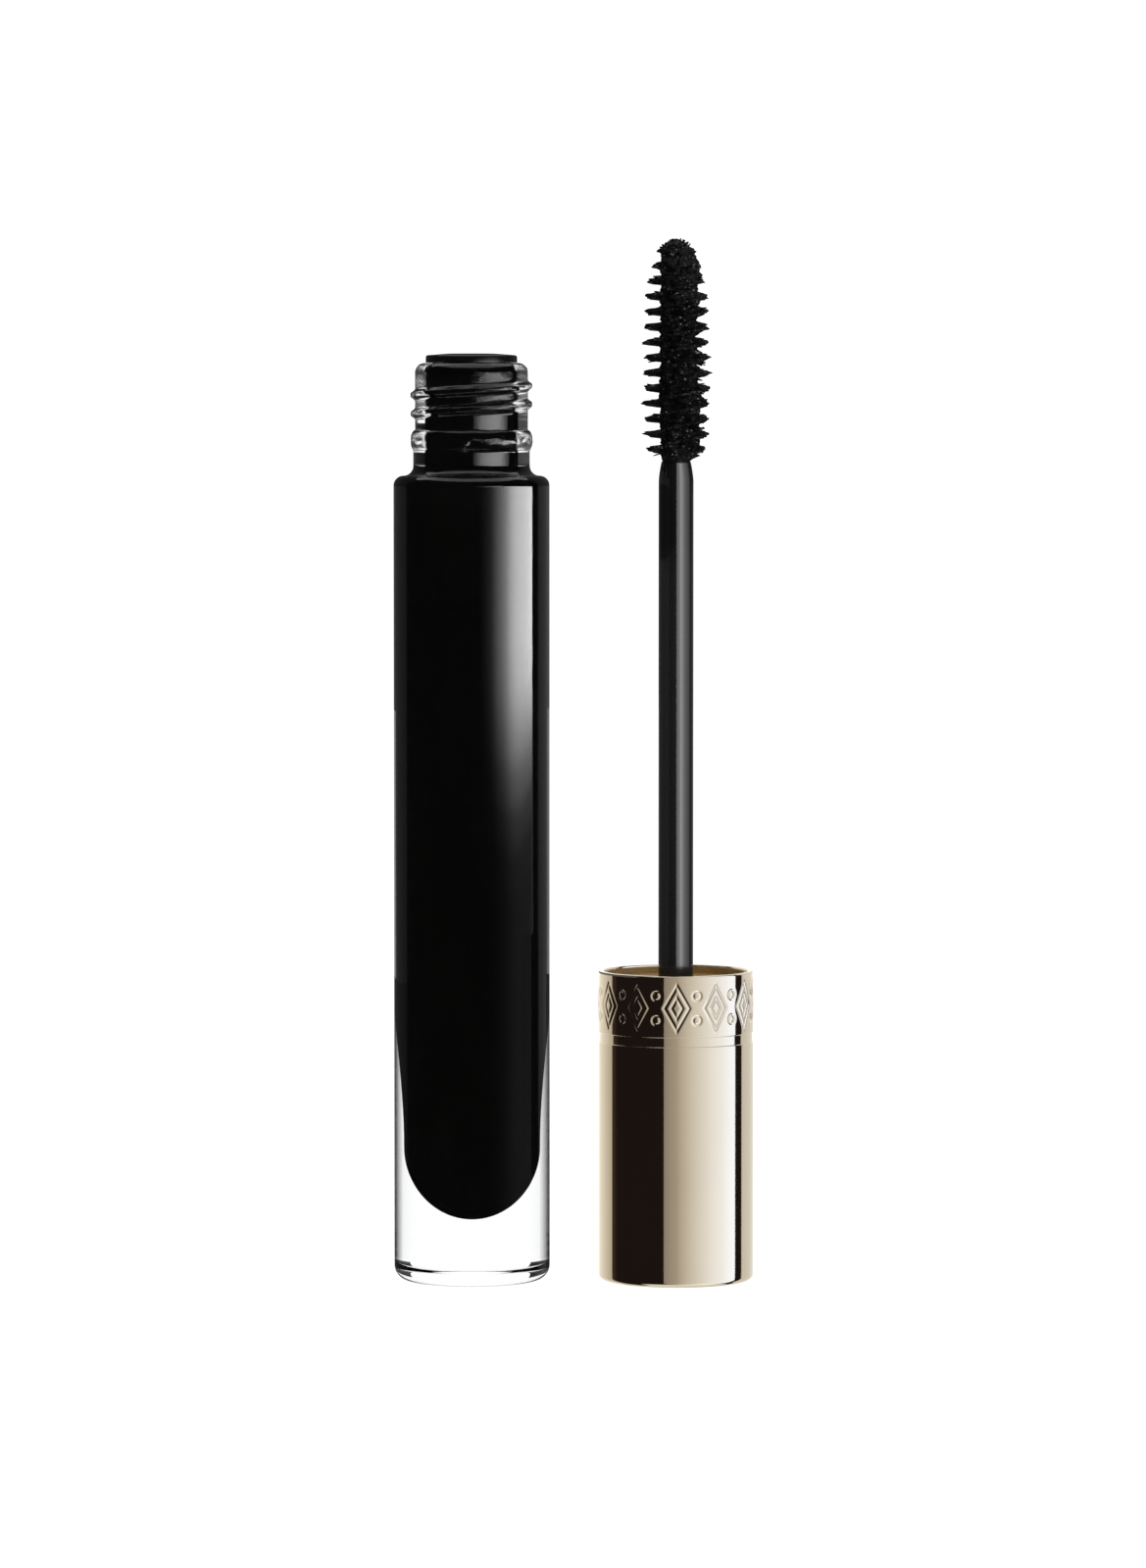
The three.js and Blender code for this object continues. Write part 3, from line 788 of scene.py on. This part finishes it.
def tube_points(path, radii, sides):
    """Rings of points round a path, with no twist between them."""
    path = np.asarray(path, float)
    points = []
    for i, (centre, radius) in enumerate(zip(path, radii)):
        ahead = path[min(i + 1, len(path) - 1)] - path[max(i - 1, 0)]
        ahead /= np.linalg.norm(ahead)
        helper = np.array([0, 0, 1.0]) if abs(ahead[2]) < 0.8 else np.array([1.0, 0, 0])
        side = np.cross(helper, ahead)
        side /= np.linalg.norm(side)
        up = np.cross(ahead, side)
        for k in range(sides):
            a = FULL_TURN * k / sides
            points.append(centre + radius * (side * math.cos(a) + up * math.sin(a)))
    return points


def brush_wire():
    """One wire folded in two and twisted, its lead twice the pitch of the bristle rows."""
    bottom = STEM_TOP - WIRE_HOLE_DEPTH + 0.1
    sides, steps_per_turn = 8, 14
    turns = (WIRE_TOP - bottom) / (2 * BRISTLE_PITCH)
    steps = int(turns * steps_per_turn)
    points, faces = [], []
    for strand in (0, math.pi):
        path = []
        for i in range(steps + 1):
            a = strand + FULL_TURN * turns * i / steps
            z = bottom + (WIRE_TOP - bottom) * i / steps
            path.append((CAP_X + WIRE_RADIUS * math.cos(a), WIRE_RADIUS * math.sin(a), z))
        faces += tube_faces(len(points), len(path), sides)
        points += tube_points(path, [WIRE_RADIUS] * len(path), sides)
    piece = mesh_piece("wire_twist", steel_wire(), points, faces)
    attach(piece, "cap_and_brush")
    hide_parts("brush_wire")
    return piece


def brush_radius(z):
    """The brush's outline: full in the middle, rounded to the tip, quickly drawn in at the root."""
    to_tip = np.clip((BRUSH_TOP + 0.3 - z) / BRUSH_TIP_TAPER, 0, 1)
    to_root = np.clip((z - BRISTLE_FIRST + 2.0) / BRUSH_ROOT_TAPER, 0, 1)
    return BRISTLE_LENGTH * np.sqrt(1 - (1 - to_tip) ** 2) * np.sqrt(1 - (1 - to_root) ** 2)


def helix_angle(z):
    """Direction of the bristle rows at a height. The rows leave the wire on both sides."""
    return LEFT + math.pi * (z - BRISTLE_FIRST) / BRISTLE_PITCH


def thinned(angle):
    """Share of the full reach in each direction: beside the left, paste has pulled the rows in,
    which leaves single teeth standing there."""
    most_pulled_in, breadth, loss = 0.78, 0.32, 0.5
    away = np.abs((angle - LEFT + math.pi) % FULL_TURN - math.pi)
    return 1 - loss * np.exp(-(((away - most_pulled_in) / breadth) ** 2))


def paste_relief(radius, z, angle):
    """The paste's lumpy body, its two spiral fins, and its joint with the stem's tip."""
    outline = brush_radius(z)
    coarse, middle, fine = (
        ring_noise(z, angle, 2.2 * grains, 1.1 * grains) for grains in (1, 2.9, 7.3)
    )
    along_rows = np.cos(angle - helix_angle(z)) ** 2
    fin = smooth((along_rows - 0.74) / 0.18)
    clogged = 0.5 + 0.5 * np.cos(angle + 0.75)
    body = PASTE_RADIUS + clogged * (PASTE_CLOGGING + 1.2 * coarse)
    body = np.minimum(body, outline * 0.93)
    reach = fin * (outline * thinned(angle) * (0.95 + 0.14 * middle) - body)
    lumps = 0.14 * coarse + 0.24 * middle + 0.13 * fine
    joined = np.clip((z - PASTE_BOTTOM) / PASTE_JOINT_HEIGHT, 0, 1)
    closed = np.sqrt(np.clip((BRUSH_TOP - z) / PASTE_TIP_ROUND, 0, 1))
    lively = body + np.maximum(reach, 0) + lumps * joined
    return np.maximum(lively * closed, 0.02) * joined + STEM_TIP_RADIUS * 0.93 * (1 - joined)


def paste_core():
    """Paste packed between the bristles: a lumpy body with a double spiral fin."""
    around, rows = 150, 420
    profile = [(0, PASTE_BOTTOM)]
    profile += column(1.0, PASTE_BOTTOM, BRUSH_TOP, rows - 1)
    profile += [(0, BRUSH_TOP + 0.02)]
    piece = turned("paste_core", coated_nylon(), CAP_X, profile, around, paste_relief, 80)
    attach(piece, "cap_and_brush")
    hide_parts(*BRISTLE_ROWS[: len(BRISTLE_ROWS) // 2])
    return piece


def row_bristles(random):
    """Root, tip, reach and thickness of each bristle. They stand in clumps on the double spiral."""
    for start in (0.0, math.pi):
        for clump in range(len(BRISTLE_ROWS) * CLUMPS_PER_HALF_TURN):
            turn = (clump + random.uniform(-0.25, 0.25)) / CLUMPS_PER_HALF_TURN - 0.5
            centre_z = BRISTLE_FIRST + turn * BRISTLE_PITCH
            centre = start + helix_angle(centre_z)
            lean_z = random.normal(0, 0.16)
            lean = random.normal(0, 0.05)
            length = random.uniform(0.9, 1.02)
            for _ in range(BRISTLES_PER_CLUMP):
                offset = random.uniform(-0.5, 0.5) * math.pi / CLUMPS_PER_HALF_TURN
                z = centre_z + offset / math.pi * BRISTLE_PITCH + random.normal(0, 0.1)
                tip_z = min(z + lean_z + random.normal(0, 0.14), BRUSH_TOP)
                tip_angle = centre + lean + offset * 0.45
                reach = float(brush_radius(min(z, BRUSH_TOP - 0.3)))
                reach *= thinned(centre) * length * random.uniform(0.8, 1.0)
                yield z, centre + offset, tip_z, tip_angle, reach, random.uniform(0.8, 1.25)


def tuft_bristles(random):
    """The same for the tuft that closes the tip."""
    for _ in range(TUFT_BRISTLES):
        angle = random.uniform(0, FULL_TURN)
        root_z = BRUSH_TOP - random.uniform(0.9, 2.4)
        reach = random.uniform(0.5, 2.2)
        rise = math.sqrt(max(0.0, 1 - (reach / TUFT_RADIUS) ** 2)) * 2.0
        tip_z = BRUSH_TOP - 1.95 + rise + random.uniform(-0.3, 0.1)
        tip_angle = angle + random.normal(0, 0.2)
        yield root_z, angle, tip_z, tip_angle, reach, random.uniform(0.9, 1.3)


def bristle_path(root_z, angle, tip_z, tip_angle, reach, stations):
    """A bristle's centre line, which bends more and more towards its tip."""
    path = []
    for share in stations:
        bend = share * share
        a = angle + (tip_angle - angle) * bend
        r = BRISTLE_ROOT + (reach - BRISTLE_ROOT) * share
        path.append((CAP_X + r * math.cos(a), r * math.sin(a), root_z + (tip_z - root_z) * bend))
    return path


def bristles():
    """Tapered bristles, each a little uneven."""
    random = np.random.default_rng(7)
    sides = 5
    stations = np.array([0.0, 0.35, 0.62, 0.84, 1.0])
    thickness = np.array([0.15, 0.15, 0.14, 0.13, 0.07])
    points, faces = [], []
    for several in (row_bristles(random), tuft_bristles(random)):
        for *ends, thick in several:
            path = bristle_path(*ends, stations)
            wobble = random.uniform(0.75, 1.3, len(stations))
            faces += tube_faces(len(points), len(path), sides)
            points += tube_points(path, thickness * thick * wobble, sides)
    nylon = bpy.data.materials["coated_nylon"]
    piece = mesh_piece("bristle_tufts", nylon, points, faces, sharp_degrees=80)
    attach(piece, "cap_and_brush")
    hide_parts(*BRISTLE_ROWS[len(BRISTLE_ROWS) // 2 :])
    return piece


# ---- studio


def emission_material(name, colour):
    """A material that only glows. Returns its node tree's parts too."""
    material = bpy.data.materials.new(name)
    material.use_nodes = True
    tree = material.node_tree
    tree.nodes.clear()
    output = tree.nodes.new("ShaderNodeOutputMaterial")
    emission = tree.nodes.new("ShaderNodeEmission")
    emission.inputs["Color"].default_value = (*colour, 1)
    emission.inputs["Strength"].default_value = 1.0
    tree.links.new(emission.outputs["Emission"], output.inputs["Surface"])
    return material, tree, emission, output


def stage_mesh(name, corners, faces, material):
    """A mesh in metres that belongs to the studio."""
    mesh = bpy.data.meshes.new(name)
    mesh.from_pydata(corners, [], faces)
    mesh.materials.append(material)
    placed = bpy.data.objects.new(name, mesh)
    bpy.context.scene.collection.objects.link(placed)
    return placed


def floor():
    """A pale floor that stays as bright as the backdrop, with a trace of contact shadow."""
    material, tree, emission, output = emission_material("studio_floor", grey(1.0))
    paint = tree.nodes.new("ShaderNodeBsdfDiffuse")
    paint.inputs["Color"].default_value = (*grey(0.12), 1)
    both = tree.nodes.new("ShaderNodeAddShader")
    tree.links.new(emission.outputs["Emission"], both.inputs[0])
    tree.links.new(paint.outputs["BSDF"], both.inputs[1])
    tree.links.new(both.outputs["Shader"], output.inputs["Surface"])
    half = 30.0
    corners = [(-half, -half, 0), (half, -half, 0), (half, half, 0), (-half, half, 0)]
    plane = stage_mesh("floor", corners, [(0, 1, 2, 3)], material)
    plane.visible_glossy = False
    plane.visible_transmission = False


def see_through(tree, emission, output, share):
    """Clears an emission by a share, from 0 where it glows in full to 1 where nothing shows."""
    clear = tree.nodes.new("ShaderNodeBsdfTransparent")
    mix = tree.nodes.new("ShaderNodeMixShader")
    tree.links.new(share, mix.inputs["Fac"])
    tree.links.new(emission.outputs["Emission"], mix.inputs[1])
    tree.links.new(clear.outputs["BSDF"], mix.inputs[2])
    tree.links.new(mix.outputs["Shader"], output.inputs["Surface"])


def show_only_in(card, seen_by):
    """Hides a card from everything but reflections, or refractions."""
    card.visible_camera = False
    card.visible_diffuse = False
    card.visible_shadow = False
    card.visible_glossy = seen_by == REFLECTIONS
    card.visible_transmission = seen_by == REFRACTIONS


def screen(name, left, right, low, high, seen_by, stops, fade=0.0):
    """A curved screen that only reflections, or only refractions, see. Its angles run from the
    camera's direction towards the right, and its heights are in metres. stops give its brightness
    by how far back it lies, from 0 level with the object to 1 right behind it. Its lower edge can
    fade out."""
    radius, steps = 0.45, 32
    corners = []
    for i in range(steps + 1):
        a = math.radians(left + (right - left) * i / steps)
        x, y = radius * math.sin(a), -radius * math.cos(a)
        corners += [(x, y, low), (x, y, high)]
    faces = [(i, i + 2, i + 3, i + 1) for i in range(0, 2 * steps, 2)]
    material, tree, emission, output = emission_material(name, grey(0.0))
    depth = share_between(tree, axis_value(tree, "Y"), 0, radius)
    tree.links.new(ramp(tree, depth, stops), emission.inputs["Color"])
    if fade:
        faded = share_between(tree, axis_value(tree, "Z"), low + fade, low)
        see_through(tree, emission, output, faded)
    show_only_in(stage_mesh(name, corners, faces, material), seen_by)


def mirrored_screens():
    """Dark cards round the set. They give the glass and the gold their dark bands."""
    near_black = (0.017, 0.0125, 0.0125)
    middle, neck = 0.05, SCREEN_NECK
    for name, left, right, low, high, colour in (
        ("front_card", -110, 117, -0.5, 0.7, near_black),
        ("left_card", -150, -110, 0.0, neck, grey(0.09)),
        ("left_high_card", -180, -150, middle, neck, grey(0.1)),
        ("left_low_card", -180, -150, 0.0, middle, grey(0.45)),
        ("right_card", 117, 150, 0.0, neck, grey(0.19)),
        ("right_high_card", 150, 180, middle, neck, grey(0.2)),
        ("right_low_card", 150, 180, 0.0, middle, grey(0.4)),
        ("left_base_card", -180, -110, -0.5, 0.0, grey(0.06)),
        ("right_base_card", 117, 180, -0.5, 0.0, grey(0.06)),
        ("left_neck_card", -180, -110, neck, 0.5, grey(0.05)),
        ("right_neck_card", 117, 180, neck, 0.5, grey(0.08)),
    ):
        screen(name, left, right, low, high, REFLECTIONS, [(0.0, colour)])


def refracted_screens():
    """Cards that show through the clear glass. They draw its dark edges."""
    foot, neck, rim = 0.02, SCREEN_NECK, 0.125
    low_edge = grey_stops((0.2, 0.01), (0.33, 0.15), (0.42, 0.37), (0.53, 0.69), (0.63, 1.0))
    screen("low_glass_card", -129, 129, -0.5, 0.0, REFRACTIONS, low_edge)
    screen("foot_glass_card", -142, 142, 0.0, foot, REFRACTIONS, [(0.0, grey(0.008))], 0.01)
    screen("left_glass_card", -142, 0, foot, neck, REFRACTIONS, [(0.0, grey(0.025))])
    screen("right_glass_card", 0, 142, foot, neck, REFRACTIONS, [(0.0, grey(0.06))])
    screen("left_neck_glass_card", -142, 0, neck, rim, REFRACTIONS, [(0.0, grey(0.06))])
    neck_edge = grey_stops((0.0, 0.03), (0.3, 0.02), (0.5, 0.004))
    screen("right_neck_glass_card", 0, 142, neck, rim, REFRACTIONS, neck_edge)


def flag(name, facing, front, back, low, high, stops):
    """An upright flag between the two objects, facing one of them, so that it doesn't mirror the
    other. Only reflections on the faced side see it. stops give its brightness from front to back.
    Places are in millimetres."""
    material, tree, emission, output = emission_material(name, grey(0.0))
    emission.inputs["Strength"].default_value = 1.35
    depth = share_between(tree, axis_value(tree, "Y"), front * MM, back * MM)
    tree.links.new(ramp(tree, depth, stops), emission.inputs["Color"])
    geometry = tree.nodes.new("ShaderNodeNewGeometry")
    see_through(tree, emission, output, geometry.outputs["Backfacing"])
    aside = 0.6 if facing == "right" else -0.6
    outline = [(front, low), (back, low), (back, high), (front, high)]
    if facing == "left":
        outline.reverse()
    corners = [Vector((aside, y, z)) * MM for y, z in outline]
    show_only_in(stage_mesh(name, corners, [(0, 1, 2, 3)], material), REFLECTIONS)


def flags():
    """One flag for the gold, one for the stem above it, and one for the bottle."""
    dark = (0.0126, 0.0093, 0.0093)
    gold_edge = [(0.0, dark), (0.39, dark), (0.5, (0.052, 0.037, 0.03))]
    gold_edge += [(0.505, (0.53, 0.5, 0.45)), (0.7, (0.76, 0.75, 0.73)), (1.0, grey(0.93))]
    flag("cap_flag", "right", -11.5, 3.5, -20, 37.5, gold_edge)
    flag("stem_flag", "right", -12, 12, 37.5, 100, [(0.0, grey(0.11))])
    glass_edge = [(0.0, grey(0.1)), (0.31, grey(0.1)), (0.32, dark), (0.56, dark), (0.57, grey(0.14))]
    flag("bottle_flag", "left", -8.3, 1.2, -20, 42.5, glass_edge)


def softbox(name, receivers, centre_x, angles, heights, strength, across, upward=EVEN):
    """A tall area light between two angles round an upright axis, and two heights in metres. Only
    its receivers see it. across holds its brightness from left to right, and upward its share
    from bottom to top."""
    distance = 0.4
    low, high = heights
    ends = [
        Vector((centre_x * MM + distance * math.sin(a), -distance * math.cos(a), 0))
        for a in np.radians(angles)
    ]
    light = bpy.data.lights.new(name, "AREA")
    light.shape = "RECTANGLE"
    light.size = (ends[1] - ends[0]).length
    light.size_y = high - low
    light.energy = strength * math.pi * light.size * light.size_y
    light.use_nodes = True
    tree = light.node_tree
    emission = tree.nodes["Emission"]
    geometry = tree.nodes.new("ShaderNodeNewGeometry")
    split = tree.nodes.new("ShaderNodeSeparateXYZ")
    tree.links.new(geometry.outputs["Parametric"], split.inputs["Vector"])
    both = tree.nodes.new("ShaderNodeMix")
    both.data_type = "RGBA"
    both.blend_type = "MULTIPLY"
    both.inputs["Factor"].default_value = 1.0
    tree.links.new(ramp(tree, split.outputs["X"], across), both.inputs["A"])
    tree.links.new(ramp(tree, split.outputs["Y"], upward), both.inputs["B"])
    tree.links.new(both.outputs["Result"], emission.inputs["Color"])
    box = bpy.data.objects.new(name, light)
    bpy.context.scene.collection.objects.link(box)
    middle = (ends[0] + ends[1]) / 2
    box.location = (middle.x, middle.y, (low + high) / 2)
    along = (ends[1] - ends[0]).normalized()
    upright = Vector((0, 0, 1))
    box.rotation_mode = "QUATERNION"
    axes = Matrix((along, upright, along.cross(upright))).transposed()
    box.rotation_quaternion = axes.to_quaternion()
    box.visible_camera = False
    box.visible_transmission = False
    group = bpy.data.collections.new(name + "_receivers")
    for piece in receivers:
        group.objects.link(piece)
    box.light_linking.receiver_collection = group


def bottle_lights(bottle):
    """The long soft highlight down the bottle's front, which dims below, and the neck's own."""
    body_across = grey_stops(
        (0.0, 0.0), (0.14, 0.011), (0.215, 0.027), (0.283, 0.077), (0.346, 0.163), (0.408, 0.25),
        (0.467, 0.41), (0.528, 0.65), (0.592, 0.81), (0.661, 0.89), (0.834, 0.93), (1.0, 1.0),
    )
    body_upward = grey_stops(
        (0.0, 0.009), (0.6, 0.014), (0.647, 0.022), (0.687, 0.06),
        (0.728, 0.2), (0.768, 0.5), (0.808, 0.84), (0.85, 1.0),
    )
    neck_across = grey_stops(
        (0.0, 0.1), (0.07, 0.14), (0.27, 0.62), (0.55, 1.0), (0.7, 0.85), (0.9, 0.25), (1.0, 0.1)
    )
    neck = 0.0945
    body_heights = (-0.08, neck)
    softbox(
        "body_softbox", bottle, BOTTLE_X, (14, 101.5), body_heights, 12.5, body_across, body_upward
    )
    softbox("neck_softbox", bottle, BOTTLE_X, (5, 80), (neck, 0.122), 5.6, neck_across)


def cap_lights(cap):
    """A broad warm highlight on the gold's right, and pale strips that edge it on both sides."""
    warm_to_cool = [(0.0, (0.16, 0.148, 0.143)), (0.238, (0.238, 0.225, 0.202))]
    warm_to_cool += [(0.419, (0.42, 0.428, 0.435)), (0.576, (0.548, 0.592, 0.683))]
    warm_to_cool += [(0.824, (0.658, 0.75, 0.975)), (1.0, (0.66, 0.76, 1.0))]
    left_edge = [(0.0, grey(0.9)), (0.4, grey(0.93)), (1.0, (0.53, 0.5, 0.45))]
    right_edge = [(0.0, (0.86, 0.88, 0.9)), (0.5, (0.94, 0.95, 0.97)), (1.0, grey(0.98))]
    heights = (-0.3, 0.3)
    softbox("cap_softbox", cap, CAP_X, (-18, 97.7), heights, 2.4, warm_to_cool)
    softbox("cap_left_strip", cap, CAP_X, (-180, -110), heights, 1.35, left_edge)
    softbox("cap_right_strip", cap, CAP_X, (113.5, 180), heights, 1.0, right_edge)


def wand_lights(wand):
    """One tall highlight on the right of the stem and the brush."""
    across = grey_stops(
        (0.0, 0.38), (0.1, 0.42), (0.24, 0.54), (0.336, 1.0), (0.434, 0.68),
        (0.52, 0.41), (0.62, 0.27), (0.75, 0.17), (0.95, 0.05), (1.0, 0.03),
    )
    softbox("wand_softbox", wand, CAP_X, (3, 105), (-0.3, 0.4), 6.8, across)


def studio_world():
    """An even white surround."""
    world = bpy.data.worlds.new("studio")
    world.use_nodes = True
    background = world.node_tree.nodes["Background"]
    background.inputs["Color"].default_value = (1, 1, 1, 1)
    background.inputs["Strength"].default_value = 1.12
    bpy.context.scene.world = world


def camera():
    """A long lens at the height of the bottle's neck, tipped down a little."""
    middle_x, distance, eye_height, aim_height = -0.1, 836.0, 106.9, 60.7
    eye = Vector((middle_x, -distance, eye_height)) * MM
    aim = Vector((middle_x, 0.0, aim_height)) * MM
    data = bpy.data.cameras.new("camera")
    data.lens = 157.5
    data.sensor_width = 36.0
    data.clip_start = 0.01
    viewer = bpy.data.objects.new("camera", data)
    bpy.context.scene.collection.objects.link(viewer)
    viewer.location = eye
    viewer.rotation_mode = "QUATERNION"
    viewer.rotation_quaternion = (aim - eye).to_track_quat("-Z", "Y")
    bpy.context.scene.camera = viewer


def main():
    bottle = [glass_bottle(), paste_fill(), wiper_insert()]
    cap = [cap_shell(), cap_liner(), cap_gasket()]
    wand = [stem_rod(), brush_wire(), paste_core(), bristles()]
    floor()
    mirrored_screens()
    refracted_screens()
    flags()
    studio_world()
    bottle_lights(bottle)
    cap_lights(cap)
    wand_lights(wand)
    camera()
    bpy.context.scene.view_settings.view_transform = "Standard"


main()
